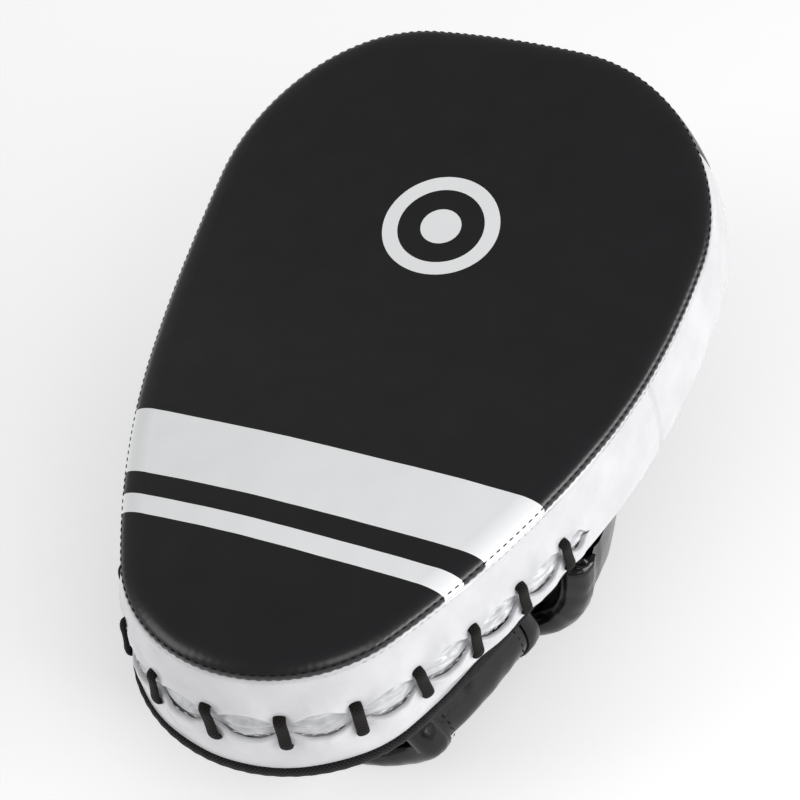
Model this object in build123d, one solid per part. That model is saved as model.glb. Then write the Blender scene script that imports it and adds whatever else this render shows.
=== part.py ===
from build123d import *
import functools
import math
import os

# Long curved focus mitt for boxing training, millimetres.
# Modelled first in the mitt's own frame: X across, Y from the wrist seam (0) to the fingertips,
# Z out of the striking face, with Z = 0 at the seam between face and side wall.
# The height of anything is counted from that seam, and a negative height lies in the pad.
# At the end everything is lifted, so that the mitt lies face up on its finger hood and strap.

# Pad outline: arcs that run into one another, seen from the face
pad_width = 200.0
pad_length = 293.0
wrist_radius = 57.0
side_radius = 410.0
shoulder_radius = 74.0
tip_radius = 450.0

# Pad profile: flat at the wrist, then bent towards the striking side
bend_start = 130.0
bend_radius = 330.0
wall_height = 46.0
crown = 6.0
edge_roll = 5.5

# Layers of the pad
skin = 1.5
impact_foam_thickness = 14.0
back_foam_thickness = 12.0
binding_thickness = 1.2
binding_height = 6.2
binding_tip_run = 36.0

# Side wall seams, as places along Y
cross_seam_y = 162.0
tip_seam_y = 265.0

# Laced opening at the wrist end
slit_end_y = 114.0
lip_seam = -26.0
slit_front = -20.0
slit_back = -31.0
lace_front = -16.0
lace_back = -35.0
lace_diameter = 3.0
lace_pitch = 23.8
lace_shift = -4.0
lace_count = 13
lace_bend_radius = 2.3
hole_clearance = 0.3
lace_clearance = 0.2
knot_radius = 2.2
tongue_thickness = 1.2
tongue_margin = 4.0
well_clearance = 0.3
well_margin = 2.0

# Palm ball on the back, which the hand grips
ball_y = 70.0
ball_half_width = 27.0
ball_half_length = 30.0
ball_height = 16.0

# Padded soft goods: cover, padding and lining
cover = 1.2
lining = 1.0

# Finger hood
hood_mouth_y = 112.0
hood_straight = 18.0
hood_half_width = 79.0
hood_length = 116.0
hood_depth = 56.0
hood_roll = 44.0
hood_padding = 9.0
hood_binding_width = 4.0

# Wrist strap, an arch that widens towards the fingers
strap_near_y = 38.0
strap_far_y = 98.0
strap_near_half_width = 50.0
strap_far_half_width = 70.0
strap_near_depth = 46.0
strap_near_roll = 24.0
strap_far_roll = 28.0
strap_padding = 6.0
strap_binding_width = 3.0
strap_root_gap = 0.5
root_thickness = 1.5
root_width = 14.0

# Hook-and-loop closure on the left of the strap
anchor_length = 18.0
anchor_thickness = 3.0
anchor_inset = 2.0
strap_end = 21.0
patch_thickness = 1.2
patch_margin = 3.0
patch_gap = 0.3
tab_thickness = 1.5
tab_top = 5.0
tab_bottom = 36.0
tab_edge_margin = 4.0

# Worked out from the sizes above
hood_wall = cover + hood_padding + lining
strap_wall = cover + strap_padding + lining
sagitta = lace_pitch ** 2 / (8 * (wrist_radius - skin - lace_diameter))
lace_room = lace_clearance + lace_diameter + sagitta + lace_clearance
well_depth = lace_room + tongue_thickness + well_clearance
tongue_high = lace_front + tongue_margin
tongue_low = lace_back - tongue_margin
well_high = tongue_high + well_margin
well_low = tongue_low - well_margin
well_end = slit_end_y + tongue_margin + well_margin

# Cutting shapes reach past the whole mitt by these, and the bend is cut this many degrees long
REACH = 400.0
MARGIN = 12.0
BEND_TURN = 60

# Two places nearer than this are the same place
NEAR = 0.01


def arc_between(centre, radius, start, end):
    """Arc about a centre from the direction of one point to the direction of another."""
    first = (start - centre).get_signed_angle(Vector(1, 0, 0), Vector(0, 0, -1))
    last = (end - centre).get_signed_angle(Vector(1, 0, 0), Vector(0, 0, -1))
    return CenterArc(centre, radius, first, last - first)


def right_half():
    """Edges of the right half of the outline, from the wrist round to the tip."""
    wrist = Vector(0, wrist_radius)
    tip = Vector(0, pad_length - tip_radius)
    shoulder_x = pad_width / 2 - shoulder_radius
    rise = math.sqrt((tip_radius - shoulder_radius) ** 2 - shoulder_x ** 2)
    shoulder = Vector(shoulder_x, tip.Y + rise)
    apart = shoulder - wrist
    reach_wrist = side_radius - wrist_radius
    reach_shoulder = side_radius - shoulder_radius
    along = (reach_wrist ** 2 - reach_shoulder ** 2 + apart.length ** 2) / (2 * apart.length)
    across = math.sqrt(reach_wrist ** 2 - along ** 2)
    foot = wrist + apart.normalized() * along
    side = foot + Vector(-apart.Y, apart.X).normalized() * across
    wrist_end = wrist + (wrist - side)
    side_end = shoulder + (shoulder - side)
    shoulder_end = shoulder + (shoulder - tip)
    return [
        arc_between(wrist, wrist_radius, Vector(0, 0), wrist_end),
        arc_between(side, side_radius, wrist_end, side_end),
        arc_between(shoulder, shoulder_radius, side_end, shoulder_end),
        arc_between(tip, tip_radius, shoulder_end, Vector(0, pad_length)),
    ]


HALF = Wire(right_half())
OUTLINE = Wire(right_half() + [edge.mirror(Plane.YZ) for edge in right_half()])


def outline_face(grow):
    """The pad's outline as a face, grown outwards by some amount."""
    face = Face(OUTLINE)
    if grow == 0:
        return face
    return offset(face, amount=grow).faces()[0]


def bend_centre():
    """Plane of the bend's section, with its angle counted from the start of the bend."""
    return Plane((-REACH / 2, bend_start, bend_radius), x_dir=(0, 0, -1), z_dir=(1, 0, 0))


def slab(low, high):
    """Everything between two heights, over the flat and the bent part."""
    middle = (low + high) / 2
    flat = Pos(0, (bend_start - REACH) / 2, middle) * Box(REACH, REACH + bend_start, high - low)
    lower = Edge.make_circle(bend_radius - low, bend_centre(), 0, BEND_TURN)
    upper = Edge.make_circle(bend_radius - high, bend_centre(), 0, BEND_TURN)
    start = Edge.make_line(lower @ 0, upper @ 0)
    end = Edge.make_line(lower @ 1, upper @ 1)
    bent = extrude(Face(Wire([lower, upper, start, end])), amount=REACH, dir=(1, 0, 0))
    return flat + bent


def bent_shell(outline):
    """A flat outline carried onto the seam surface and through the pad, square to the bent surface."""
    line = Edge.make_line((-REACH / 2, -REACH / 2, 0), (-REACH / 2, bend_start, 0))
    arc = Edge.make_circle(bend_radius, bend_centre(), 0, BEND_TURN)
    prism = extrude(outline, amount=REACH, both=True)
    parts = []
    for path in (line, arc):
        surface = (Face.extrude(path, (REACH, 0, 0)) & prism).faces()[0]
        for depth in (-wall_height - MARGIN, crown + MARGIN):
            parts.append(Solid.thicken(surface, depth, normal_override=(0, 0, 1)))
    return parts[0].fuse(*parts[1:])


@functools.cache
def column(grow):
    """The outline carried through the pad, grown outwards by some amount."""
    return bent_shell(outline_face(grow))


def layer(grow, low, high):
    """One layer of the pad between two heights, out to the outline grown by some amount."""
    return (column(grow) & slab(low, high)).solid()


@functools.cache
def wall(outer, inner):
    """A wall that follows the outline through the pad, between two growths of it."""
    return bent_shell((outline_face(outer) - outline_face(inner)).face())


def ring(outer, inner, low, high):
    """The stretch of a wall between two heights."""
    return (wall(outer, inner) & slab(low, high)).solid()


def between(shape, axis, low, high):
    """The stretch of a shape between two places along an axis."""
    size = [2 * REACH] * 3
    place = [0.0, 0.0, 0.0]
    size[axis] = high - low
    place[axis] = (low + high) / 2
    return shape & (Pos(*place) * Box(*size))


def height(point):
    """Height of a point over the bent seam surface."""
    if point.Y < bend_start:
        return point.Z
    return bend_radius - math.hypot(point.Y - bend_start, point.Z - bend_radius)


def on_rim(edge):
    """Whether an edge lies along the outline and not across the pad."""
    return not (abs((edge @ 0).Y - bend_start) < NEAR and abs((edge @ 1).Y - bend_start) < NEAR)


def rolled(grow, low, high, roll):
    """A layer whose upper rim is rolled over."""
    block = layer(grow, low, high)
    rim = [edge for edge in block.edges() if height(edge @ 0.5) > high - NEAR and on_rim(edge)]
    return block.fillet(roll, rim)


def make_tape():
    """The edge tape, in lengths that meet at the wall's seams and are the same on both sides."""
    low = -wall_height - binding_thickness
    right = between(ring(binding_thickness, 0, low, low + binding_height), 0, 0, REACH)
    cuts = [-MARGIN, bend_start, cross_seam_y, tip_seam_y, tip_seam_y + binding_tip_run, REACH]
    lengths = [between(right, 1, start, end).solid() for start, end in zip(cuts, cuts[1:])]
    return Compound(lengths + [length.mirror(Plane.YZ) for length in lengths])


def make_pad():
    """The pad, from the striking face inwards."""
    face_inner = rolled(-skin, 0, crown - skin, edge_roll - skin)
    striking_face = rolled(0, 0, crown, edge_roll) - face_inner
    well = between(ring(-skin, -skin - well_depth, well_low, well_high), 1, -MARGIN, well_end)
    impact_low = -impact_foam_thickness
    core_low = -wall_height + skin + back_foam_thickness
    impact_foam = (face_inner + layer(-skin, impact_low, 0)) - well
    core_foam = layer(-skin, core_low, impact_low) - well
    back_foam = layer(-skin, -wall_height + skin, core_low) - well
    back_panel = layer(-skin, -wall_height, -wall_height + skin)
    whole_wall = ring(0, -skin, -wall_height, 0)
    sides = between(whole_wall, 1, cross_seam_y, tip_seam_y)
    return {
        "striking_face": striking_face,
        "impact_foam": impact_foam,
        "core_foam": core_foam,
        "back_foam": back_foam,
        "back_panel": back_panel,
        "back_binding": make_tape(),
        "side_gusset_right": between(sides, 0, 0, REACH),
        "side_gusset_left": between(sides, 0, -REACH, 0),
        "tip_gusset": between(whole_wall, 1, tip_seam_y, REACH),
    }


def wall_place(along):
    """Point on the seam and outward direction, a given way round from the wrist's middle."""
    point = HALF.position_at(abs(along), position_mode=PositionMode.LENGTH)
    tangent = HALF.tangent_at(abs(along), position_mode=PositionMode.LENGTH)
    side = math.copysign(1, along)
    return Vector(side * point.X, point.Y), Vector(side * tangent.Y, -tangent.X)


def lace_places():
    """Where the lace crosses the opening, from left to right."""
    middle = (lace_count - 1) / 2
    return [wall_place(lace_shift + lace_pitch * (i - middle)) for i in range(lace_count)]


def lace_point(place, outwards, level):
    """Point at a lace crossing, some way outwards from the wall and at some height."""
    point, normal = place
    return point + normal * outwards + Vector(0, 0, level)


def make_opening():
    """The laced opening: two lips, the lace through them and the tongue behind it."""
    inside = -(skin + lace_clearance + lace_diameter / 2)
    outside = lace_clearance + lace_diameter / 2
    lower_wall = between(ring(0, -skin, -wall_height, 0), 1, -MARGIN, cross_seam_y)
    slit = Pos(0, slit_end_y - REACH / 2, (slit_front + slit_back) / 2)
    lower_wall -= slit * Box(REACH, REACH, slit_front - slit_back)
    holes = []
    route = [lace_point(lace_places()[0], -(skin + lace_clearance + knot_radius), lace_front)]
    first, second = lace_front, lace_back
    for place in lace_places():
        for level in (lace_front, lace_back):
            start = lace_point(place, -2 * skin, level)
            hole = Cylinder(lace_diameter / 2 + hole_clearance, 4 * skin)
            holes.append(Plane(start, z_dir=place[1]) * Pos(0, 0, 2 * skin) * hole)
        route.append(lace_point(place, inside, first))
        route.append(lace_point(place, outside, first))
        route.append(lace_point(place, outside, second))
        route.append(lace_point(place, inside, second))
        first, second = second, first
    lower_wall -= holes
    del route[1]
    route[-1] = lace_point(lace_places()[-1], -(skin + lace_clearance + knot_radius), first)
    path = FilletPolyline(*route, radius=[lace_bend_radius] * (len(route) - 2))
    tube = sweep(Plane(route[0], z_dir=route[1] - route[0]) * Circle(lace_diameter / 2), path=path)
    knots = [Pos(*end) * Sphere(knot_radius) for end in (route[0], route[-1])]
    tongue = ring(-skin - lace_room, -skin - lace_room - tongue_thickness, tongue_low, tongue_high)
    return {
        "lace_lip_front": between(lower_wall, 2, lip_seam, REACH),
        "lace_lip_back": between(lower_wall, 2, -REACH, lip_seam),
        "lace_tongue": between(tongue, 1, -MARGIN, slit_end_y + tongue_margin),
        "lace": tube + knots,
    }


def palm_ball(inset):
    """Half an ellipsoid on the back panel."""
    back = Pos(0, ball_y, -wall_height)
    whole = scale(Sphere(1), (ball_half_width - inset, ball_half_length - inset, ball_height - inset))
    return between(back * whole, 2, -REACH, -wall_height)


def make_palm_ball():
    """The palm ball's leather cover and the foam in it."""
    foam = palm_ball(cover)
    return {"palm_ball_cover": palm_ball(0) - foam, "palm_ball_foam": foam}


def hood_block(inset, mouth):
    """Solid hood, shrunk by an inset on every side but the mouth, down from the back panel."""
    half_width = hood_half_width - inset
    bend_y = hood_mouth_y + hood_straight
    corner = Vector(half_width, mouth)
    shoulder = Vector(half_width, bend_y)
    end_length = hood_length - hood_straight - inset
    end = EllipticalCenterArc((0, bend_y), half_width, end_length, start_angle=0, arc_size=180)
    far = Edge.make_line(Vector(-half_width, bend_y), Vector(-half_width, mouth))
    rim = Edge.make_line(Vector(-half_width, mouth), corner)
    outline = Face(Wire([Edge.make_line(corner, shoulder), end, far, rim]))
    floor = -wall_height - hood_depth + inset
    block = extrude(Pos(0, 0, floor) * outline, amount=hood_depth + wall_height, dir=(0, 0, 1))
    low_rim = [edge for edge in block.edges().group_by(Axis.Z)[0] if (edge @ 0.5).Y > mouth + NEAR]
    return block.fillet(hood_roll - inset, low_rim) - slab(-wall_height, REACH / 2)


def make_hood():
    """The finger hood: three layers and a bound mouth."""
    inner_cover = hood_block(cover, hood_mouth_y)
    inner_padding = hood_block(cover + hood_padding, hood_mouth_y)
    cavity = hood_block(hood_wall, hood_mouth_y)
    mouth = hood_mouth_y - hood_binding_width
    rim = hood_block(0, mouth) - hood_block(hood_wall, mouth)
    return {
        "hood_cover": hood_block(0, hood_mouth_y) - inner_cover,
        "hood_padding": inner_cover - inner_padding,
        "hood_lining": inner_padding - cavity,
        "hood_binding": between(rim, 1, mouth, hood_mouth_y),
    }


def strap_section(place, half_width, depth, roll, inset):
    """Section of the strap's arch, shrunk by an inset everywhere but at the top."""
    low = -wall_height - depth + inset
    width = 2 * (half_width - inset)
    tall = -low
    sketch = Pos(0, tall / 2 + low) * Rectangle(width, tall)
    corners = sketch.vertices().group_by(Axis.Y)[0]
    return Plane.XZ.offset(-place) * fillet(corners, roll - inset)


def strap_block(inset):
    """Solid arch of the wrist strap between its two edges."""
    near = strap_section(strap_near_y, strap_near_half_width, strap_near_depth, strap_near_roll, inset)
    far = strap_section(strap_far_y, strap_far_half_width, hood_depth, strap_far_roll, inset)
    return loft([near, far], ruled=True)


def strap_shell(outer, inner, low, high):
    """Shell of the strap's arch between two insets and two heights."""
    return between(strap_block(outer) - strap_block(inner), 2, low, high)


def make_strap():
    """The wrist strap, sewn on at the right and held by its tab at the left."""
    top = -wall_height - root_thickness - strap_root_gap
    free_end = Pos(-REACH / 2, 0, -wall_height - strap_end + REACH / 2) * Box(REACH, 2 * REACH, REACH)
    shells = {}
    layers = {"strap_cover": (0, cover), "strap_padding": (cover, cover + strap_padding)}
    layers["strap_lining"] = (cover + strap_padding, strap_wall)
    near_edge = strap_near_y + strap_binding_width
    far_edge = strap_far_y - strap_binding_width
    for name, (outer, inner) in layers.items():
        shell = strap_shell(outer, inner, -REACH, top) - free_end
        shells[name] = between(shell, 1, near_edge, far_edge)
    edges = strap_shell(0, strap_wall, -REACH, top) - free_end
    near_binding = between(edges, 1, strap_near_y, near_edge)
    far_binding = between(edges, 1, far_edge, strap_far_y)
    shells["strap_binding"] = Compound([near_binding.solid(), far_binding.solid()])
    return shells


def make_closure():
    """The closure: an anchor strip with its loop patch, and the tab with its hook patch."""
    back = -wall_height
    left = Pos(-REACH / 2, 0, 0) * Box(REACH, 2 * REACH, 2 * REACH)
    anchor = strap_shell(anchor_inset, anchor_inset + anchor_thickness, back - anchor_length, back)
    loop_out = anchor_inset - patch_thickness
    hook_in = loop_out - patch_gap
    hook_out = hook_in - patch_thickness
    patch_low = back - anchor_length + patch_margin / 2
    loop = strap_shell(loop_out, anchor_inset, patch_low, back - patch_margin)
    hook = strap_shell(hook_out, hook_in, patch_low, back - tab_top - patch_margin / 2)
    tab = strap_shell(hook_out - tab_thickness, hook_out, back - tab_bottom, back - tab_top)
    near = strap_near_y + tab_edge_margin
    far = strap_far_y - tab_edge_margin
    pieces = {"anchor_strap": anchor, "loop_patch": loop, "hook_patch": hook, "strap_tab": tab}
    return {name: between(piece & left, 1, near, far) for name, piece in pieces.items()}


def make_root():
    """The strap's sewn root: a strip on the back panel, which the strap turns about."""
    half_near = strap_near_half_width
    half_far = strap_far_half_width
    outline = Polyline(
        (half_near, strap_near_y), (half_far, strap_far_y),
        (half_far - root_width, strap_far_y), (half_near - root_width, strap_near_y), close=True,
    )
    top = Pos(0, 0, -wall_height - root_thickness)
    return {"strap_root": extrude(top * Face(Wire(outline)), amount=root_thickness, dir=(0, 0, 1))}

pieces = {}
for make in (make_pad, make_opening, make_palm_ball, make_hood, make_root, make_closure, make_strap):
    pieces |= make()

# The row's origin: under the middle of the whole mitt, on the surface that it lies on
box = Compound(list(pieces.values())).bounding_box()
lift = Pos(0, -(box.min.Y + box.max.Y) / 2, -box.min.Z)

os.makedirs("parts", exist_ok=True)
for name, piece in pieces.items():
    export_step(lift * piece, f"parts/{name}.step")
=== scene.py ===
"""Looks of a long, curved, lace-up focus mitt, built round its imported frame."""

import logging
import math
from collections.abc import Callable, Sequence
from dataclasses import dataclass
from enum import Enum

import bmesh
import bpy
from mathutils import Matrix, Vector, noise


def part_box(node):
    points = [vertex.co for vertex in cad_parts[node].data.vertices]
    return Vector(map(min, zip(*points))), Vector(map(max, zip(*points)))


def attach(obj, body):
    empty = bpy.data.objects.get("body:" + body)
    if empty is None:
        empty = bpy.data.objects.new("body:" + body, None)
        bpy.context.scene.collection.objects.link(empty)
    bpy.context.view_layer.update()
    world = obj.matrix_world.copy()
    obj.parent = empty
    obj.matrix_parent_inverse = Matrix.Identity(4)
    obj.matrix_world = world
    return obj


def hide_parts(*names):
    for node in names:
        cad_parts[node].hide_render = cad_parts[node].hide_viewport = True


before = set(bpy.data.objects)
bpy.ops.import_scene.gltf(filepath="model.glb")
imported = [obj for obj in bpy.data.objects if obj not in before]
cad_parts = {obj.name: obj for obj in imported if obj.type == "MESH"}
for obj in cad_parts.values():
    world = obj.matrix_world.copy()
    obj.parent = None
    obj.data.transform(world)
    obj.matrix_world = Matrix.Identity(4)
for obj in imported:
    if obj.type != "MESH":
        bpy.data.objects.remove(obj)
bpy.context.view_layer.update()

MM = 0.001
LOG = logging.getLogger("focus_mitt")
Place = Callable[[float, float], Vector]
Tree = bpy.types.NodeTree
Node = bpy.types.Node
Socket = bpy.types.NodeSocket
# Length of one band of Blender's wave texture at a scale of one
WAVE_LENGTH = 0.31


class Body(Enum):
    """The rigid bodies that pieces ride on."""

    PAD = "pad"
    STRAP = "wrist_strap"
    TAB = "strap_tab"


# ---------------------------------------------------------------- finishes


def linear(code: str) -> tuple[float, float, float, float]:
    """Turns an sRGB hex colour into linear light.

    Args:
        code: Six hex digits, with or without a leading hash.

    Returns:
        Red, green, blue and an alpha of one.
    """
    digits = code.lstrip("#")
    parts = [int(digits[i:i + 2], 16) / 255 for i in (0, 2, 4)]
    flat = [c / 12.92 if c <= 0.04045 else ((c + 0.055) / 1.055) ** 2.4 for c in parts]
    return (*flat, 1.0)


def add(tree: Tree, kind: str, links: dict[str | int, Socket] | None = None, **settings: object) -> Node:
    """Adds a shader node with its settings and links.

    Args:
        tree: The material's node tree.
        kind: The node's type name, without the ShaderNode prefix.
        links: Input name or index to the output socket that feeds it.
        **settings: Node properties, or input values where the name starts with "in_".

    Returns:
        The new node.
    """
    node = tree.nodes.new("ShaderNode" + kind)
    for name, value in settings.items():
        if name.startswith("in_"):
            key = name[3:]
            node.inputs[int(key) if key.isdigit() else key.replace("_", " ")].default_value = value
        else:
            setattr(node, name, value)
    for name, socket in (links or {}).items():
        tree.links.new(socket, node.inputs[name])
    return node


def start(name: str, roughness: float, shine: float = 0.5) -> tuple[bpy.types.Material, Tree, Node]:
    """Starts a material.

    Args:
        name: The material's name.
        roughness: Surface roughness.
        shine: Specular level, 0.5 for plain plastic.

    Returns:
        The material, its tree and its main shader.
    """
    material = bpy.data.materials.new(name)
    material.use_nodes = True
    tree = material.node_tree
    shader = tree.nodes["Principled BSDF"]
    shader.inputs["Roughness"].default_value = roughness
    shader.inputs["Specular IOR Level"].default_value = shine
    return material, tree, shader


def ramp(tree: Tree, source: Socket, stops: Sequence[tuple[float, tuple]]) -> Socket:
    """Adds a colour ramp and returns its colour socket.

    Args:
        tree: The material's node tree.
        source: The socket with the ramp's factor.
        stops: Place and colour of each stop.

    Returns:
        The colour output.
    """
    node = add(tree, "ValToRGB", {"Fac": source})
    elements = node.color_ramp.elements
    for element, (place, colour) in zip(elements, stops):
        element.position = place
        element.color = colour
    return node.outputs["Color"]


@dataclass(frozen=True)
class Leather:
    """Polyurethane-coated leather, pressed with a fine grain."""

    name: str
    colour: str
    rise_colour: str
    roughness: float = 0.4
    grain_mm: float = 0.9
    depth: float = 0.15
    soft_mm: float = 14.0
    soft_depth: float = 0.25
    shine: float = 0.5

    def make(self) -> bpy.types.Material:
        """Builds the material: grain cells, soft unevenness, and a tint that is darker in its dents than on
        its rises.
        """
        material, tree, shader = start(self.name, self.roughness, self.shine)
        place = add(tree, "TexCoord").outputs["Object"]
        cloud, tint = self.hide(tree, place)
        tree.links.new(tint, shader.inputs["Base Color"])
        self.relief(tree, shader, place, cloud)
        return material

    def hide(self, tree: Tree, place: Socket) -> tuple[Node, Socket]:
        """Adds the slow unevenness of soft backing and the tint that follows it.

        Args:
            tree: The material's node tree.
            place: The coordinate socket.

        Returns:
            The slow noise node and the tint's socket.
        """
        scale = 1 / (self.soft_mm * MM)
        cloud = add(tree, "TexNoise", {"Vector": place}, in_Scale=scale, in_Detail=3.0)
        # The tint is darker where the noise dips and paler where it rises; on the tongue this is painted
        # crease shade.
        stops = ((0.35, linear(self.colour)), (0.75, linear(self.rise_colour)))
        return cloud, ramp(tree, cloud.outputs["Fac"], stops)

    def relief(self, tree: Tree, shader: Node, place: Socket, cloud: Node) -> None:
        """Adds the pressed grain and the slow unevenness of soft backing.

        Args:
            tree: The material's node tree.
            shader: The main shader.
            place: The coordinate socket.
            cloud: The slow noise node.
        """
        cells = add(tree, "TexVoronoi", {"Vector": place}, in_Scale=1 / (self.grain_mm * MM))
        cells.feature = "SMOOTH_F1"
        slow = add(tree, "Bump", {"Height": cloud.outputs["Fac"]},
                   in_Strength=self.soft_depth, in_Distance=0.6 * MM)
        fine = add(tree, "Bump", {"Height": cells.outputs["Distance"], "Normal": slow.outputs["Normal"]},
                   in_Strength=self.depth, in_Distance=0.12 * MM)
        tree.links.new(fine.outputs["Normal"], shader.inputs["Normal"])


@dataclass(frozen=True)
class PrintedLeather(Leather):
    """The striking face: black leather with two pale printed bands and a plain round target."""

    ink: str = "#fbfcfd"
    broad_band: tuple[float, float] = (67.0, 95.4)
    thin_band: tuple[float, float] = (49.5, 57.5)
    target: tuple[float, float] = (0.0, 208.0)
    target_rings: tuple[float, float, float] = (8.0, 17.0, 23.0)

    def make(self) -> bpy.types.Material:
        """Builds the leather, then lays the ink over it."""
        material, tree, shader = start(self.name, self.roughness, self.shine)
        place = add(tree, "TexCoord").outputs["Object"]
        cloud, hide = self.hide(tree, place)
        flat = add(tree, "UVMap", uv_map="plan").outputs["UV"]
        along = add(tree, "SeparateXYZ", {"Vector": flat}).outputs["Y"]
        centre = (self.target[0] * MM, self.target[1] * MM, 0.0)
        reach = add(tree, "VectorMath", {0: flat}, operation="DISTANCE", in_1=centre).outputs["Value"]
        dot, low, high = self.target_rings
        spans = ((along, *self.broad_band), (along, *self.thin_band), (reach, -1.0, dot), (reach, low, high))
        marks = [self.band(tree, *span) for span in spans]
        total = marks[0]
        for mark in marks[1:]:
            total = add(tree, "Math", {0: total, 1: mark}, operation="MAXIMUM").outputs[0]
        mix = add(tree, "Mix", {"Factor": total}, data_type="RGBA")
        tree.links.new(hide, mix.inputs[6])
        mix.inputs[7].default_value = linear(self.ink)
        tree.links.new(mix.outputs[2], shader.inputs["Base Color"])
        self.relief(tree, shader, place, cloud)
        return material

    def band(self, tree: Tree, value: Socket, low: float, high: float) -> Socket:
        """Adds a mask that is one between two distances.

        Args:
            tree: The material's node tree.
            value: The socket with the distance, in metres.
            low: Lower edge, in millimetres.
            high: Upper edge, in millimetres.

        Returns:
            The mask's socket.
        """
        above = add(tree, "Math", {0: value}, operation="GREATER_THAN", in_1=low * MM).outputs[0]
        below = add(tree, "Math", {0: value}, operation="LESS_THAN", in_1=high * MM).outputs[0]
        return add(tree, "Math", {0: above, 1: below}, operation="MULTIPLY").outputs[0]


@dataclass(frozen=True)
class Woven:
    """Woven tape, webbing or lace, with crossed threads along the piece's own map."""

    name: str
    colour: str
    light: str
    thread_mm: float = 0.9
    depth: float = 0.8
    roughness: float = 0.75
    turn: float = 45.0
    speckle: float = 0.5

    def make(self) -> bpy.types.Material:
        """Builds the weave from two crossed wave patterns."""
        material, tree, shader = start(self.name, self.roughness, 0.2)
        shader.inputs["Sheen Weight"].default_value = 0.05
        place = add(tree, "UVMap", uv_map="plan").outputs["UV"]
        waves = []
        scale = WAVE_LENGTH / (self.thread_mm * MM)
        for side in (self.turn, -self.turn):
            turned = add(tree, "Mapping", {"Vector": place}, in_Rotation=(0, 0, math.radians(side)))
            wave = add(tree, "TexWave", {"Vector": turned.outputs["Vector"]}, in_Scale=scale)
            waves.append(wave.outputs["Fac"])
        weave = add(tree, "Math", {0: waves[0], 1: waves[1]}, operation="MULTIPLY").outputs[0]
        tint = ramp(tree, weave, ((0.2, linear(self.colour)), (0.2 + self.speckle, linear(self.light))))
        tree.links.new(tint, shader.inputs["Base Color"])
        bump = add(tree, "Bump", {"Height": weave}, in_Strength=self.depth, in_Distance=0.3 * MM)
        tree.links.new(bump.outputs["Normal"], shader.inputs["Normal"])
        return material


@dataclass(frozen=True)
class Nap:
    """Brushed cloth, loop cloth or foam: a fine random pile."""

    name: str
    colour: str
    light: str
    pile_mm: float = 0.7
    roughness: float = 0.9
    sheen: float = 0.4

    def make(self) -> bpy.types.Material:
        """Builds the pile from fine noise."""
        material, tree, shader = start(self.name, self.roughness)
        shader.inputs["Sheen Weight"].default_value = self.sheen
        place = add(tree, "TexCoord").outputs["Object"]
        pile = add(tree, "TexNoise", {"Vector": place}, in_Scale=1 / (self.pile_mm * MM), in_Detail=4.0)
        tint = ramp(tree, pile.outputs["Fac"], ((0.35, linear(self.colour)), (0.7, linear(self.light))))
        tree.links.new(tint, shader.inputs["Base Color"])
        bump = add(tree, "Bump", {"Height": pile.outputs["Fac"]}, in_Strength=0.6, in_Distance=0.4 * MM)
        tree.links.new(bump.outputs["Normal"], shader.inputs["Normal"])
        return material


# Grain, weave and pile are drawn a little coarser than the real ones, so that they don't shimmer
FINISHES = {
    # Printed synthetic leather: a soft, broad sheen, and pale ink that lies flat in the same grain
    "face": PrintedLeather("printed_black_leather", "#0c0b0f", "#121115", roughness=0.3, shine=0.5),
    # White coated leather: a clean gloss, with slow dents where the foam behind gives way
    "white": Leather("gloss_white_leather", "#cfcfd2", "#dadadd", roughness=0.22, depth=0.05,
                     soft_depth=0.15),
    # The same leather unpadded: small creases that each catch a light. Its tint, greyer in the dips of these
    # creases than on their rises, is painted crease shade
    "tongue": Leather("crinkled_white_leather", "#b9babd", "#dededf", roughness=0.2, grain_mm=1.2, depth=0.2,
                      soft_mm=5.0, soft_depth=0.3),
    # Plain black coated leather: a dull, even surface with little shine
    "gusset": Leather("black_gusset_leather", "#141317", "#1a191d", roughness=0.4, shine=0.3),
    # Soft glossy leather over padding: bright, broken highlights along its folds
    "hood": Leather("gloss_black_leather", "#060608", "#0d0c11", roughness=0.2, soft_mm=9.0, soft_depth=0.35,
                    shine=0.4),
    # Grained back leather: the pressed grain shows more than the gloss
    "back": Leather("black_back_leather", "#141318", "#1f1e23", roughness=0.42, depth=0.3),
    # Edge tape: a coarse weave with dark gaps and dull, lighter threads
    "binding": Woven("black_woven_tape", "#060607", "#2b2b2e", thread_mm=1.0, speckle=0.7),
    # Braided lace: no shine, fine crossed threads, slightly brown
    "lace": Woven("black_woven_lace", "#0b0908", "#231e1c", thread_mm=0.8, roughness=0.85),
    # Nylon webbing: ribs that run nearly along the strap
    "webbing": Woven("black_webbing", "#101011", "#3a3a3e", thread_mm=1.2, turn=20.0),
    # Brushed lining: flat black with a faint pale edge at a low angle
    "lining": Nap("black_brushed_lining", "#0b0b0c", "#1c1b1c"),
    # Loop cloth: a loose pile that catches some light
    "loop": Nap("black_loop_cloth", "#0b0a0a", "#2a2726", pile_mm=1.1),
    # Hook tape: stiff nylon points, harder and shinier than cloth
    "hook": Nap("black_hook_tape", "#0c0c0d", "#2b2b2e", pile_mm=1.4, roughness=0.5, sheen=0.0),
    # Foam: open grey cells, matt all over
    "foam": Nap("grey_foam", "#8b8b8f", "#a5a5a9", pile_mm=1.5, sheen=0.0),
    # Black thread: a dark twist, seen mainly by its shadow
    "black_thread": Woven("black_thread", "#050506", "#111113", thread_mm=0.4),
    # White thread: a bright twist against the leather
    "white_thread": Woven("white_thread", "#c9c9cc", "#ffffff", thread_mm=0.4),
}
MADE: dict[str, bpy.types.Material] = {}


def finish_of(name: str) -> bpy.types.Material:
    """The material of a named finish, built once."""
    if name not in MADE:
        MADE[name] = FINISHES[name].make()
    return MADE[name]


# ---------------------------------------------------------------- shapes


def smooth(low: float, high: float, value: float) -> float:
    """Smooth step from 0 at low to 1 at high."""
    t = min(max((value - low) / (high - low), 0.0), 1.0)
    return t * t * (3 - 2 * t)


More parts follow.
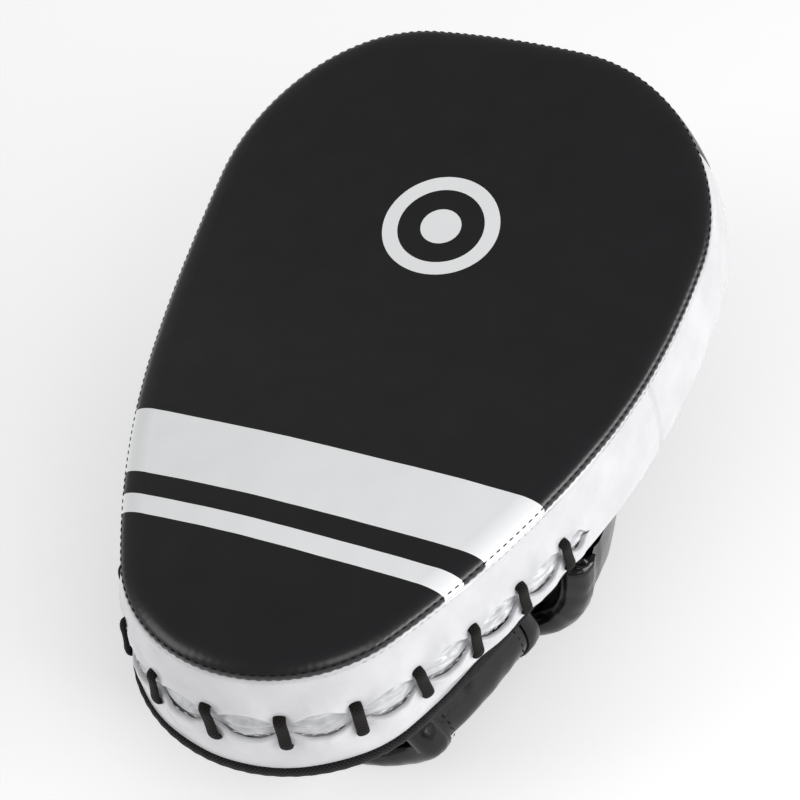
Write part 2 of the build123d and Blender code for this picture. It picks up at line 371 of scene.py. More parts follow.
def wobble(point: Vector, size_mm: float, seed: float = 0.0) -> float:
    """Slow, repeatable noise from -1 to 1, at a place in metres."""
    return noise.noise(point / (size_mm * MM) + Vector((seed, seed, seed)))


def bell(distance: float, width: float) -> float:
    """Bell curve: 1 at no distance, next to nothing at twice the width."""
    return math.exp(-(distance / width) ** 2)


@dataclass(frozen=True)
class Arc:
    """One arc of the outline: its centre, radius, first angle and length."""

    centre: Vector
    radius: float
    first: float
    length: float

    def at(self, along: float) -> tuple[Vector, Vector]:
        """Point and outward direction at a length along the arc."""
        angle = self.first + along / self.radius
        normal = Vector((math.cos(angle), math.sin(angle)))
        return self.centre + normal * self.radius, normal


class Outline:
    """The pad's outline in plan, in millimetres, from arcs that run into one another."""

    half_width: float = 100.0
    length: float = 293.0
    wrist: float = 57.0
    side: float = 410.0
    shoulder: float = 74.0
    tip: float = 450.0

    def __init__(self) -> None:
        wrist = Vector((0, self.wrist))
        tip = Vector((0, self.length - self.tip))
        shoulder_x = self.half_width - self.shoulder
        rise = math.sqrt((self.tip - self.shoulder) ** 2 - shoulder_x ** 2)
        shoulder = Vector((shoulder_x, tip.y + rise))
        apart = shoulder - wrist
        near, far = self.side - self.wrist, self.side - self.shoulder
        along = (near ** 2 - far ** 2 + apart.length ** 2) / (2 * apart.length)
        across = math.sqrt(near ** 2 - along ** 2)
        side = wrist + apart.normalized() * along + Vector((-apart.y, apart.x)).normalized() * across
        turns = [-math.pi / 2]
        turns += [math.atan2(v.y, v.x) for v in (wrist - side, shoulder - side, shoulder - tip)]
        turns.append(math.pi / 2)
        # The side arc ends where the shoulder's begins, and so on round to the tip
        circles = ((wrist, self.wrist), (side, self.side), (shoulder, self.shoulder), (tip, self.tip))
        self.arcs = []
        for (centre, radius), first, last in zip(circles, turns, turns[1:]):
            self.arcs.append(Arc(centre, radius, first, (last - first) * radius))
        self.half = sum(arc.length for arc in self.arcs)

    def at(self, along: float) -> tuple[Vector, Vector]:
        """Point and outward direction on the outline.

        Args:
            along: Way round from the wrist's middle, in millimetres, positive to the right.

        Returns:
            The point and the outward direction, in plan.
        """
        along = (along + self.half) % (2 * self.half) - self.half
        left = abs(along)
        for arc in self.arcs:
            if left <= arc.length or arc is self.arcs[-1]:
                point, normal = arc.at(left)
                break
            left -= arc.length
        side = -1.0 if along < 0 else 1.0
        return Vector((point.x * side, point.y)), Vector((normal.x * side, normal.y))


@dataclass(frozen=True)
class Bend:
    """How the flat plan is bent towards the striking side, and where it lies in the frame."""

    start: float = 130.0
    radius: float = 330.0

    def place(self, x: float, y: float, height: float) -> Vector:
        """Place of a point of the flat plan.

        Args:
            x: Millimetres across the mitt.
            y: Millimetres from the wrist seam, in plan.
            height: Millimetres out of the seam surface.

        Returns:
            The point in the frame, in metres.
        """
        angle = math.asin(min(max((y - self.start) / self.radius, 0.0), 0.95))
        rise = self.radius * (1 - math.cos(angle))
        point = Vector((x, y - height * math.sin(angle), rise + height * math.cos(angle)))
        return point * MM + SEAM

    def back(self, y: float, depth: float) -> float:
        """Height of the back surface over the wrist's seam plane, at a place along the mitt."""
        if y < self.start:
            return -depth
        reach = self.radius + depth
        return self.radius - math.sqrt(max(reach ** 2 - (y - self.start) ** 2, 0.0))


OUTLINE = Outline()
BEND = Bend()
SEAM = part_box("striking_face")[0] * Vector((0.0, 1.0, 1.0))


def free(x: float, y: float, z: float) -> Vector:
    """Place of a point of the unbent mitt frame: millimetres from the wrist seam's middle."""
    return Vector((x, y, z)) * MM + SEAM


def loft(name: str, stations: Sequence[float], rows: Sequence[float], place: Place,
         closed: bool = False, pole: bool = False, face_out: Vector | None = None,
         map_size: Place | None = None) -> bpy.types.Object:
    """Sweeps a chain of edges through rows, and puts each vertex in place.

    Args:
        name: The piece's name.
        stations: Values along the chain.
        rows: Values across it.
        place: Gives the point, in metres, for a station and a row.
        closed: Whether the chain is a loop.
        pole: Whether the last row closes to a point.
        face_out: A direction that most faces look along. None leaves them to point outwards.
        map_size: Gives the map's coordinates, in metres, for a station and a row.

    Returns:
        The new object, with a map named plan.
    """
    bm = bmesh.new()
    station = bm.verts.layers.int.new("station")
    row_of = bm.verts.layers.int.new("row")
    # A new layer moves the earlier ones, so the first is looked up again
    station = bm.verts.layers.int["station"]
    chain = bmesh.ops.create_circle(bm, segments=len(stations), radius=1.0)["verts"]
    for index, vertex in enumerate(chain):
        vertex[station] = index
    if not closed:
        last = [e for e in bm.edges if {v[station] for v in e.verts} == {0, len(stations) - 1}]
        bmesh.ops.delete(bm, geom=last, context="EDGES_FACES")
    edges = list(bm.edges)
    for number in range(1, len(rows)):
        grown = bmesh.ops.extrude_edge_only(bm, edges=edges)["geom"]
        fresh = {g for g in grown if isinstance(g, bmesh.types.BMVert)}
        edges = [g for g in grown if isinstance(g, bmesh.types.BMEdge) and all(v in fresh for v in g.verts)]
        for vertex in fresh:
            vertex[row_of] = number
    for vertex in bm.verts:
        vertex.co = place(stations[vertex[station]], rows[vertex[row_of]])
    layer = bm.loops.layers.uv.new("plan")
    measure = map_size or (lambda s, r: Vector((s * MM, r * MM)))
    for face in bm.faces:
        ends = {v[station] for v in face.verts}
        wraps = closed and ends == {0, len(stations) - 1}
        for corner in face.loops:
            index = corner.vert[station]
            value = stations[index]
            if wraps and index == 0:
                value = stations[-1] + (stations[1] - stations[0])
            corner[layer].uv = measure(value, rows[corner.vert[row_of]])[0:2]
    if pole:
        top = [v for v in bm.verts if v[row_of] == len(rows) - 1]
        middle = sum((v.co for v in top), Vector()) / len(top)
        bmesh.ops.pointmerge(bm, verts=top, merge_co=middle)
    bmesh.ops.remove_doubles(bm, verts=bm.verts, dist=1e-6)
    bmesh.ops.dissolve_degenerate(bm, edges=bm.edges, dist=1e-7)
    bmesh.ops.recalc_face_normals(bm, faces=bm.faces)
    if face_out is not None:
        bm.normal_update()
        if sum(f.normal.dot(face_out) * f.calc_area() for f in bm.faces) < 0:
            bmesh.ops.reverse_faces(bm, faces=bm.faces)
    return finish_mesh(bm, name)


def finish_mesh(bm: bmesh.types.BMesh, name: str) -> bpy.types.Object:
    """Turns a bmesh into a smooth-shaded object at the origin."""
    for face in bm.faces:
        face.smooth = True
    mesh = bpy.data.meshes.new("fine_" + name)
    bm.to_mesh(mesh)
    bm.free()
    piece = bpy.data.objects.new("fine_" + name, mesh)
    bpy.context.scene.collection.objects.link(piece)
    return piece


def dress(piece: bpy.types.Object, finish: str, slot: str, body: Body, *nodes: str) -> bpy.types.Object:
    """Gives a piece its finish, its body and the nodes it stands for.

    Args:
        piece: The object.
        finish: Name of the finish.
        slot: The record's material slot; not used.
        body: The body it moves with.
        *nodes: CAD nodes that it replaces.

    Returns:
        The same object.
    """
    piece.data.materials.clear()
    piece.data.materials.append(finish_of(finish))
    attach(piece, body.value)
    if nodes:
        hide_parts(*nodes)
    LOG.info("%s: %d faces, %s", piece.name, len(piece.data.polygons), finish)
    return piece


def spread(low: float, high: float, count: int) -> list[float]:
    """Evenly spaced values, both ends included."""
    return [low + (high - low) * i / (count - 1) for i in range(count)]


def stitches(name: str, places: Sequence[tuple[Vector, Vector, Vector]], length: float,
             thick: float) -> bpy.types.Object:
    """Makes a row of thread stitches as one piece.

    Args:
        name: The piece's name.
        places: Middle, direction along the seam and outward direction of each stitch, in metres.
        length: Length of a stitch, in millimetres.
        thick: Thickness of the thread, in millimetres.

    Returns:
        The new object.
    """
    bm = bmesh.new()
    for middle, along, out in places:
        made = bmesh.ops.create_icosphere(bm, subdivisions=1, radius=0.5 * MM)["verts"]
        side = along.cross(out).normalized()
        turn = Matrix((along.normalized(), side, out.normalized())).transposed().to_4x4()
        shape = Matrix.Diagonal((length, thick, thick * 0.8, 1.0))
        bmesh.ops.transform(bm, matrix=Matrix.Translation(middle) @ turn @ shape, verts=made)
    layer = bm.loops.layers.uv.new("plan")
    for face in bm.faces:
        for corner in face.loops:
            corner[layer].uv = corner.vert.co.xy
    return finish_mesh(bm, name)


# ---------------------------------------------------------------- the pad


@dataclass
class Pad:
    """The padded block: striking face, white side wall with its laced opening, back and edge tape."""

    wall: float = 46.0
    flare: float = 4.2
    bulge: float = 1.6
    tuck: float = 9.0
    tuck_from: float = 45.0
    tuck_to: float = 135.0
    roll_inset: float = 9.5
    roll_height: float = 6.2
    crown: float = 2.4
    crown_reach: float = 26.0
    cross_seam: float = 202.0
    tip_seam: float = 308.0
    slit_end: float = 151.0
    slit_middle: float = -25.6
    slit_rise: float = 2.2
    gap_least: float = 3.3
    front_swell: float = 5.4
    back_swell: float = 2.0
    lace_pitch: float = 23.8
    lace_shift: float = -4.0
    lace_count: int = 13
    lace_reach: float = 7.1
    lace_width: float = 4.4
    lace_thick: float = 2.1
    stitch_pitch: float = 3.3
    tongue_pitch: float = 3.6
    middle: float = 160.0
    square_in: float = 40.0
    close_in: float = 60.0
    seam_depth: float = 1.1
    seam_width: float = 1.1
    welt_depth: float = 1.3
    welt_width: float = 0.7
    uneven: float = 0.35
    uneven_size: float = 22.0
    lip_reach: float = 6.0

    def tucked(self, along: float) -> float:
        """How much the back edge is tucked under: 0 at the wrist end, 1 along the sides and the tip."""
        return smooth(self.tuck_from, self.tuck_to, abs(along))

    def out(self, along: float, height: float) -> float:
        """How far the side wall stands out, at a height below the seam."""
        deep = min(max(-height / self.wall, 0.0), 1.0)
        under = self.tuck * self.tucked(along) * smooth(self.wall - 13.0, self.wall, -height)
        return self.flare * deep ** 0.8 + self.bulge * math.sin(math.pi * deep) - under

    def place(self, along: float, out: float, height: float) -> Vector:
        """Place of a point near the wall.

        Args:
            along: Way round from the wrist's middle, in millimetres.
            out: Millimetres outwards from the outline.
            height: Millimetres over the seam surface.

        Returns:
            The point in the frame, in metres.
        """
        point, normal = OUTLINE.at(along)
        spot = point + normal * out
        return BEND.place(spot.x, spot.y, height)

    def outward(self, along: float) -> Vector:
        """Outward direction at a place on the outline, in the frame."""
        normal = OUTLINE.at(along)[1]
        return Vector((normal.x, normal.y, 0.0))

    def around(self, count: int) -> list[float]:
        """Places all the way round the outline, evenly spaced, each one once."""
        return spread(-OUTLINE.half, OUTLINE.half, count + 1)[:-1]

    def closing(self, along: float, inset: float) -> Vector:
        """Plan of a face that closes in on its middle: square to the rim first, then by scaling.

        Args:
            along: Way round from the wrist's middle.
            inset: Millimetres in from the outline. Past square_in, the rest is a share of the way in.

        Returns:
            The point in plan, in millimetres.
        """
        point, normal = OUTLINE.at(along)
        spot = point - normal * min(inset, self.square_in)
        share = max(inset - self.square_in, 0.0) / self.close_in
        return spot.lerp(Vector((0.0, self.middle)), min(share, 1.0))

    def inwards(self, along: float, inset: float, height: float) -> Vector:
        """Point of a closing face in the frame, at a height over the seam surface."""
        spot = self.closing(along, inset)
        return BEND.place(spot.x, spot.y, height)

    def striking_face(self) -> bpy.types.Object:
        """The crowned face with its rolled rim, which bulges a little over the seam."""
        turns = [-0.12, -0.05] + spread(0.0, 1.0, 15)
        rows = turns + [1.0 + i for i in spread(0.4, 90.5, 64)]

        def profile(row: float) -> tuple[float, float]:
            """Inset and height: under the seam below 0, round the roll up to 1, over the crown past it."""
            if row < 0:
                return -row * 12.0, row * 9.0
            if row <= 1.0:
                angle = row * math.pi / 2
                over = 1.1 * math.sin(2 * angle) * (1 - row)
                return self.roll_inset * (1 - math.cos(angle)) - over, self.roll_height * math.sin(angle)
            inset = self.roll_inset + row - 1.0
            rise = 1 - math.exp(-(row - 1.0) / self.crown_reach)
            return inset, self.roll_height + self.crown * rise

        def point(along: float, row: float) -> Vector:
            """The profile with the pull of each stitch and the lumps of the foam."""
            inset, height = profile(row)
            spot = self.inwards(along, inset, height)
            pull = math.cos(2 * math.pi * along / self.stitch_pitch)
            tuck = math.exp(-max(height, 0.0) / 2.5) * 0.18 * pull
            lumps = 0.35 * wobble(spot, 38, 3.0) + 0.12 * wobble(spot, 11, 5.0)
            share = smooth(0.5, 8.0, inset) * smooth(110.0, 60.0, inset) + 0.2
            return self.inwards(along, inset + tuck, height + lumps * share)

        return loft("striking_face", self.around(900), rows, point, closed=True, pole=True,
                    face_out=Vector((0, -0.2, 1)), map_size=lambda s, r: self.closing(s, profile(r)[0]) * MM)

    def back_panel(self) -> bpy.types.Object:
        """The leather back, slightly quilted, inside the edge tape."""
        rows = [-3.6, -2.0, 0.0] + spread(2.0, 99.5, 40)

        def point(along: float, row: float) -> Vector:
            """The back's plane, tucked under at its rim, with a slow sag and quilting."""
            under = self.tuck * self.tucked(along)
            row += under * smooth(30.0, 0.0, row)
            spot = self.inwards(along, row, -self.wall)
            sag = -0.5 * smooth(0, 12, row) + 0.35 * wobble(spot, 26, 9.0) * smooth(0, 10, row)
            return self.inwards(along, row, -self.wall + sag)

        return loft("back_panel", self.around(400), rows, point, closed=True, pole=True,
                    face_out=Vector((0, 0.2, -1)), map_size=lambda s, r: self.closing(s, r) * MM)

    def tape(self) -> bpy.types.Object:
        """The woven tape folded over the back edge."""
        edge = self.flare
        section = [(edge - 0.8, -42.8), (edge + 0.4, -42.9), (edge + 1.1, -43.4), (edge + 1.4, -44.6),
                   (edge + 1.4, -45.8), (edge + 0.9, -47.2), (edge - 0.4, -47.9), (-1.5, -47.7),
                   (-3.6, -47.4), (-4.2, -46.9), (-4.3, -45.9)]
        lengths = [0.0]
        for (a, b), (c, d) in zip(section, section[1:]):
            lengths.append(lengths[-1] + math.hypot(c - a, d - b))

        def point(along: float, row: float) -> Vector:
            """The section, tucked under with the wall, with the ripple of the sewing."""
            out, height = section[lengths.index(row)]
            ripple = 0.08 * math.sin(2 * math.pi * along / 5.0)
            under = self.tucked(along) * (self.tuck if height > -47.0 else self.tuck * 0.8)
            lift = 1.6 * self.tucked(along) * smooth(-46.0, -41.0, height)
            return self.place(along, out - under + ripple, height - lift)

        return loft("back_binding", self.around(800), lengths, point, closed=True)

    # The laced opening

    def lace_phase(self, along: float) -> float:
        """1 at a lace crossing, 0 midway between two."""
        return 0.5 + 0.5 * math.cos(2 * math.pi * (along - self.lace_shift) / self.lace_pitch)

    def slit_centre(self, along: float) -> float:
        """Height of the opening's middle line."""
        return self.slit_middle + self.slit_rise * bell(along, 60.0)

    def gap(self, along: float, side: float) -> float:
        """How far a lip's edge is from the opening's middle line, nothing past its ends.

        Args:
            along: Way round from the wrist's middle, in millimetres.
            side: 1 for the front lip, -1 for the back one.

        Returns:
            The distance, in millimetres.
        """
        pinch = self.lace_phase(along) ** 1.5
        ends = smooth(self.slit_end, self.slit_end - 9.0, abs(along + 0.5 * self.lace_shift))
        swell = self.front_swell if side > 0 else self.back_swell
        return (self.gap_least + swell * (1 - pinch)) * ends

    def laced_wall(self) -> bpy.types.Object:
        """The white wall round the wrist end, with the opening's two scalloped lips."""
        along = spread(-self.cross_seam, self.cross_seam, 811)
        upper = [("wall", r) for r in spread(0.0, 1.0, 22)]
        edge = [("edge", r) for r in spread(0.15, 1.0, 7)]
        kinds = upper + edge
        numbers = list(range(len(kinds)))

        def point(side: float) -> Place:
            """Places of one lip's wall: 1 for the front one, -1 for the back one."""
            def at(s: float, index: float) -> Vector:
                """The wall up to the lip's edge, then the edge rolled in, with puckers by the lace."""
                kind, r = kinds[int(index)]
                centre, gap = self.slit_centre(s), self.gap(s, side)
                pull = self.lace_phase(s) ** 2 * smooth(0.5, 2.5, gap)
                lip = centre + side * gap
                far = 0.0 if side > 0 else -self.wall
                height = far + (lip - far) * r if kind == "wall" else lip
                near = bell(height - lip, self.lip_reach)
                out = self.out(s, height) + near * smooth(0, 3, gap) * (0.9 - 2.1 * pull)
                if kind == "edge":
                    turn = r * math.pi * 0.8
                    radius = 0.9 * smooth(0.0, 2.0, gap)
                    out -= radius * (1 - math.cos(turn)) + 1.4 * max(r - 0.6, 0) * smooth(0.0, 2.0, gap)
                    height -= side * radius * math.sin(turn)
                out -= self.seam_depth * bell(self.cross_seam - abs(s), self.seam_width)
                if side > 0:
                    out -= self.welt_depth * bell(height, self.welt_width)
                spot = self.place(s, out, height)
                puckers = 0.3 * near * wobble(Vector((s, height, 0)) * MM, 3.2, 2.0) * smooth(0, 3, gap)
                lumps = self.uneven * wobble(spot, self.uneven_size, 7.0)
                return self.place(s, out + puckers + lumps, height)
            return at

        front = loft("laced_wall", along, numbers, point(1.0))
        back = loft("laced_wall_back", along, numbers, point(-1.0))
        bm = bmesh.new()
        bm.from_mesh(front.data)
        bm.from_mesh(back.data)
        for part in (front, back):
            bpy.data.objects.remove(part)
        bmesh.ops.remove_doubles(bm, verts=bm.verts, dist=2e-5)
        bmesh.ops.dissolve_degenerate(bm, edges=bm.edges, dist=1e-6)
        bmesh.ops.recalc_face_normals(bm, faces=bm.faces)
        self.face_outwards(bm)
        return finish_mesh(bm, "laced_wall")

    def face_outwards(self, bm: bmesh.types.BMesh) -> None:
        """Turns a wall's faces away from the pad's middle."""
        bm.normal_update()
        middle = BEND.place(0.0, 150.0, -self.wall / 2)
        total = sum(f.normal.dot(f.calc_center_median() - middle) * f.calc_area() for f in bm.faces)
        if total < 0:
            bmesh.ops.reverse_faces(bm, faces=bm.faces)

    def gusset(self, name: str, low: float, high: float, count: int) -> bpy.types.Object:
        """A plain stretch of side wall between two seams.

        Args:
            name: The piece's name.
            low: Where it starts, round from the wrist's middle.
            high: Where it ends.
            count: How many stations it has.

        Returns:
            The piece.
        """
        def point(s: float, height: float) -> Vector:
            """The wall's surface, drawn in at its seams."""
            out = self.out(s, height) - self.seam_depth * bell(min(s - low, high - s), self.seam_width)
            out -= self.welt_depth * bell(height, self.welt_width)
            spot = self.place(s, out, height)
            return self.place(s, out + self.uneven * wobble(spot, self.uneven_size, 7.0), height)

        middle = OUTLINE.at((low + high) / 2)[1]
        return loft(name, spread(low, high, count), spread(0.0, -self.wall, 40), point,
                    face_out=Vector((middle.x, middle.y, 0)))

    def tongue(self) -> bpy.types.Object:
        """The crinkled tongue behind the opening, pressed forward between the laces."""
        def point(s: float, row: float) -> Vector:
            """The tongue's surface: swollen between the laces, with creases along the opening."""
            centre = self.slit_centre(s)
            swell = (1 - self.lace_phase(s)) ** 0.8
            out = self.out(s, centre) - 3.2 + 1.8 * swell * bell(row, 5.0)
            folds = 0.6 * math.sin(row * 1.7 + 3.5 * wobble(Vector((s, row * 0.4, 0)) * MM, 13, 4.0))
            folds += 0.9 * wobble(Vector((s * 0.22, row * 1.3, 0)) * MM, 2.6, 6.0)
            return self.place(s, out + 0.9 * folds * (0.4 + swell), centre + row)

        end = self.slit_end + 2.0
        return loft("lace_tongue", spread(-end, end, 900), spread(10.0, -10.0, 44), point,
                    face_out=Vector((0, -1, 0)))

    def lace_route(self) -> list[tuple[float, float, float]]:
        """The lace's way in and out of the lips: along, out and height of each point."""
        middle = (self.lace_count - 1) / 2
        route = []
        side = 1.0
        for number in range(self.lace_count):
            s = self.lace_shift + self.lace_pitch * (number - middle)
            centre = self.slit_centre(s)
            lean = 0.6 + 0.6 * math.sin(number * 2.3)
            for share, out in ((1.0, -4.0), (1.02, -1.2), (0.98, 0.9), (0.75, 1.5), (0.3, 1.0), (-0.3, 1.0),
                               (-0.75, 1.5), (-0.98, 0.9), (-1.02, -1.2), (-1.0, -4.0)):
                height = centre + side * share * self.lace_reach
                route.append((s - side * share * lean, self.out(s, height) + out - 0.6, height))
            side = -side
        return route

    def lace(self) -> bpy.types.Object:
        """The flat woven lace, one oval section carried along its whole way."""
        route = self.lace_route()
        curve = bpy.data.curves.new("lace_way", "CURVE")
        curve.dimensions = "3D"
        spline = curve.splines.new("NURBS")
        spline.points.add(len(route) - 1)
        for spot, (s, out, height) in zip(spline.points, route):
            spot.co = (*self.place(s, out, height), 1.0)
        spline.order_u = 3
        spline.use_endpoint_u = True
        spline.resolution_u = 5
        way = bpy.data.objects.new("lace_way", curve)
        line = bpy.data.meshes.new_from_object(way)
        points = [v.co.copy() for v in line.vertices]
        bpy.data.objects.remove(way)
        frames = []
        length = 0.0
        for number, point in enumerate(points):
            ahead = points[min(number + 1, len(points) - 1)] - points[max(number - 1, 0)]
            ahead.normalize()
            s = route[round(number / len(points) * (len(route) - 1))][0]
            flat = self.outward(s).cross(Vector((0, 0, 1)))
            flat = (flat - ahead * flat.dot(ahead)).normalized()
            frames.append((point, flat, ahead.cross(flat), length))
            if number + 1 < len(points):
                length += (points[number + 1] - point).length
        sides = 16

        def place(turn: float, number: float) -> Vector:
            """A point of the oval section at one place of the lace's way."""
            point, wide, thin, _ = frames[int(number)]
            angle = 2 * math.pi * turn / sides
            return (point + wide * (math.cos(angle) * self.lace_width / 2 * MM)
                    + thin * (math.sin(angle) * self.lace_thick / 2 * MM))

        def mapped(turn: float, number: float) -> Vector:
            """Map of the lace: way round the section, and length along the lace."""
            return Vector((turn / sides * 0.011, frames[int(number)][3]))

        return loft("lace", list(range(sides)), list(range(len(frames))), place, closed=True, map_size=mapped)

    def seam_stitches(self) -> list[bpy.types.Object]:
        """Black stitches along the face's seam, white ones under it, and the tongue's row."""
        face, welt, row = [], [], []
        count = int(2 * OUTLINE.half / self.stitch_pitch)
        for number in range(count):
            s = -OUTLINE.half + number * 2 * OUTLINE.half / count
            step = self.place(s + 1, 0, 0) - self.place(s - 1, 0, 0)
            face.append((self.place(s, -0.05, 2.4), step, self.outward(s) + Vector((0, 0, 0.5))))
            if abs(s) < self.tip_seam:
                out = self.out(s, -1.4)
                welt.append((self.place(s, out - 0.1, -1.4), step, self.outward(s)))
        for number in range(int(2 * self.slit_end / self.tongue_pitch)):
            s = -self.slit_end + self.tongue_pitch * number
            height = self.slit_centre(s) - 2.6
            step = self.place(s + 1, 0, height) - self.place(s - 1, 0, height)
            out = self.out(s, height) - 2.4 + 1.8 * (1 - self.lace_phase(s)) ** 0.8
            row.append((self.place(s, out, height), step, self.outward(s)))
        return [stitches("seam_stitches", face, 2.3, 0.5), stitches("welt_stitches", welt, 1.7, 0.35),
                stitches("tongue_stitches", row, 2.0, 0.5)]

    def build(self) -> None:
        """Makes and dresses every piece of the pad."""
        face = dress(self.striking_face(), "face", "face_leather", Body.PAD, "striking_face")
        dress(self.back_panel(), "back", "back_leather", Body.PAD, "back_panel")
        dress(self.tape(), "binding", "binding_tape", Body.PAD, "back_binding")
        dress(self.laced_wall(), "white", "white_leather", Body.PAD, "lace_lip_front", "lace_lip_back")
        right = self.gusset("side_gusset_right", self.cross_seam, self.tip_seam, 213)
        dress(right, "white", "white_leather", Body.PAD, "side_gusset_right")
        left = self.gusset("side_gusset_left", -self.tip_seam, -self.cross_seam, 213)
        dress(left, "white", "white_leather", Body.PAD, "side_gusset_left")
        tip = self.gusset("tip_gusset", self.tip_seam, 2 * OUTLINE.half - self.tip_seam, 371)
        dress(tip, "gusset", "gusset_leather", Body.PAD, "tip_gusset")
        dress(self.tongue(), "tongue", "tongue_leather", Body.PAD, "lace_tongue")
        dress(self.lace(), "lace", "lace_cord", Body.PAD, "lace")
        face_row, welt_row, tongue_row = self.seam_stitches()
        dress(face_row, "black_thread", "face_leather", Body.PAD)
        dress(welt_row, "white_thread", "white_leather", Body.PAD)
        dress(tongue_row, "white_thread", "tongue_leather", Body.PAD)


# ---------------------------------------------------------------- hood and strap


@dataclass
class Arch:
    """A padded, leather-covered arch that hangs from the back: the shape that hood and strap share."""

    near: float
    far: float
    thick: float
    ground: float = -102.0
    pad_back: float = 46.0

    def section(self, across: float, y: float) -> tuple[float, float]:
        """Sideways place and drop under the back of the outside, in millimetres.

        Args:
            across: Way round the section, from -1 at the left root to 1 at the right.
            y: Millimetres from the wrist seam.

        Returns:
            The place and the drop.
        """
        raise NotImplementedError

    def place(self, across: float, y: float, inner: float = 0.0) -> Vector:
        """Place of a point of the arch, a distance in from its outside.

        Args:
            across: Way round the section, from -1 to 1.
            y: Millimetres from the wrist seam.
            inner: Millimetres in from the outside.

        Returns:
            The point in the frame, in metres.
        """
        step = 0.004
        low, high = max(across - step, -1.0), min(across + step, 1.0)
        x0, d0 = self.section(low, y)
        x1, d1 = self.section(high, y)
        x, drop = self.section(across, y)
        run = Vector((x1 - x0, -(d1 - d0)))
        run = run.normalized() if run.length > 1e-9 else Vector((1.0, 0.0))
        return free(x - run.y * inner, y, BEND.back(y, self.pad_back) - drop + run.x * inner)

    def walk(self, y: float, inner: float, pitch: float, low: float, high: float) -> list[tuple]:
        """Evenly spaced stitch places along a section.

        Args:
            y: Millimetres from the wrist seam.
            inner: Millimetres in from the outside.
            pitch: Millimetres from stitch to stitch.
            low: Where the row starts, as a share of the way round.
            high: Where it ends.

        Returns:
            Middle, direction and outward direction of each stitch.
        """
        places = []
        left = 0.0
        last = self.place(low, y, inner)
        for across in spread(low, high, 2000)[1:]:
            spot = self.place(across, y, inner)
            left += (spot - last).length / MM
            if left >= pitch:
                left -= pitch
                out = (self.place(across, y, inner - 1.0) - spot).normalized()
                places.append((spot, spot - last, out))
            last = spot
        return places

    def cushion(self, name: str, low: float, high: float, count: int, wrinkle: float) -> bpy.types.Object:
        """The padded body: outside, rolled edges and inside as one closed skin.

        Args:
            name: The piece's name.
            low: Where it starts, as a share of the way round.
            high: Where it ends.
            count: Stations from one end to the other.
            wrinkle: Height of its folds, in millimetres.

        Returns:
            The piece.
        """
        half = self.thick / 2
        loop = [(y, 0.0) for y in spread(self.near + half, self.far - half, 34)]
        loop += [(self.far - half + half * math.sin(a), half - half * math.cos(a))
                 for a in spread(0.0, math.pi, 13)[1:-1]]
        loop += [(y, self.thick) for y in spread(self.far - half, self.near + half, 34)]
        loop += [(self.near + half - half * math.sin(a), half + half * math.cos(a))
                 for a in spread(0.0, math.pi, 13)[1:-1]]
        rows = [low] + spread(low, high, count) + [high]

        def point(index: float, across: float) -> Vector:
            """The section's skin, puffed up in its middle and folded."""
            y, inner = loop[int(index)]
            spot = self.place(across, y, inner)
            side = 1.0 if inner < half else -1.0
            share = min(max((y - self.near) / (self.far - self.near), 0.0), 1.0)
            folds = 0.65 * wobble(spot, 15, 4.0) + 0.35 * wobble(spot, 6, 8.0)
            puff = 0.9 * math.sin(math.pi * share) - 0.9
            return self.place(across, y, inner - side * (wrinkle * folds + puff * abs(inner / half - 1)))

        return self.close_ends(name, loop, rows, point)

    def close_ends(self, name: str, loop: list, rows: list[float], point: Place) -> bpy.types.Object:
        """Lofts a closed loop from end to end and draws each end in to a point.

        Args:
            name: The piece's name.
            loop: The section's places.
            rows: Shares of the way round, with the first and the last doubled.
            point: Gives the place for a section index and a share.

        Returns:
            The piece.
        """
        stations = list(range(len(loop)))
        numbers = list(range(len(rows)))
        ends = {}
        for number in (0, numbers[-1]):
            ends[number] = sum((point(s, rows[number]) for s in stations), Vector()) / len(loop)

        def place(index: float, number: float) -> Vector:
            """The section's point, or the end's middle on the first and the last row."""
            return ends[number] if number in ends else point(index, rows[int(number)])

        lengths = [0.0]
        for a, b in zip(loop, loop[1:]):
            lengths.append(lengths[-1] + math.hypot(b[0] - a[0], b[1] - a[1]))
        return loft(name, stations, numbers, place, closed=True,
                    map_size=lambda s, n: Vector((lengths[int(s) % len(loop)] * MM, rows[int(n)] * 0.15)))

    def edge_tape(self, name: str, y: float, low: float, high: float, count: int, reach: float = 4.5,
                  side: float = 1.0) -> bpy.types.Object:
        """Leather tape folded round one edge.

        Args:
            name: The piece's name.
            y: Where the edge is.
            low: Where it starts, as a share of the way round.
            high: Where it ends.
            count: Stations from end to end.
            reach: How far it covers each side, in millimetres.
            side: 1 where the arch lies past the edge, -1 where it lies before it.

        Returns:
            The piece.
        """
        half = self.thick / 2
        proud = 0.75
        outer = half + proud
        fold = [(reach + half, -proud + 1.1), (reach + half, -proud), (half + 1.0, -proud - 0.3)]
        fold += [(half - outer * math.sin(a), half - outer * math.cos(a)) for a in spread(0.0, math.pi, 15)]
        fold += [(half + 1.0, self.thick + proud + 0.3), (reach + half, self.thick + proud),
                 (reach + half, self.thick + proud - 1.1)]
        inside = half - 0.9
        fold += [(half - inside * math.sin(a), half + inside * math.cos(a)) for a in spread(0.0, math.pi, 9)]
        rows = [low] + spread(low, high, count) + [high]

        def point(index: float, across: float) -> Vector:
            """The folded tape's skin, slightly uneven along and across."""
            away, inner = fold[int(index)]
            where = y + side * away
            spot = self.place(across, where, inner)
            inner += 0.3 * wobble(spot, 5, 6.0)
            return self.place(across, where + 0.25 * wobble(spot, 7, 2.0), inner)

        return self.close_ends(name, fold, rows, point)

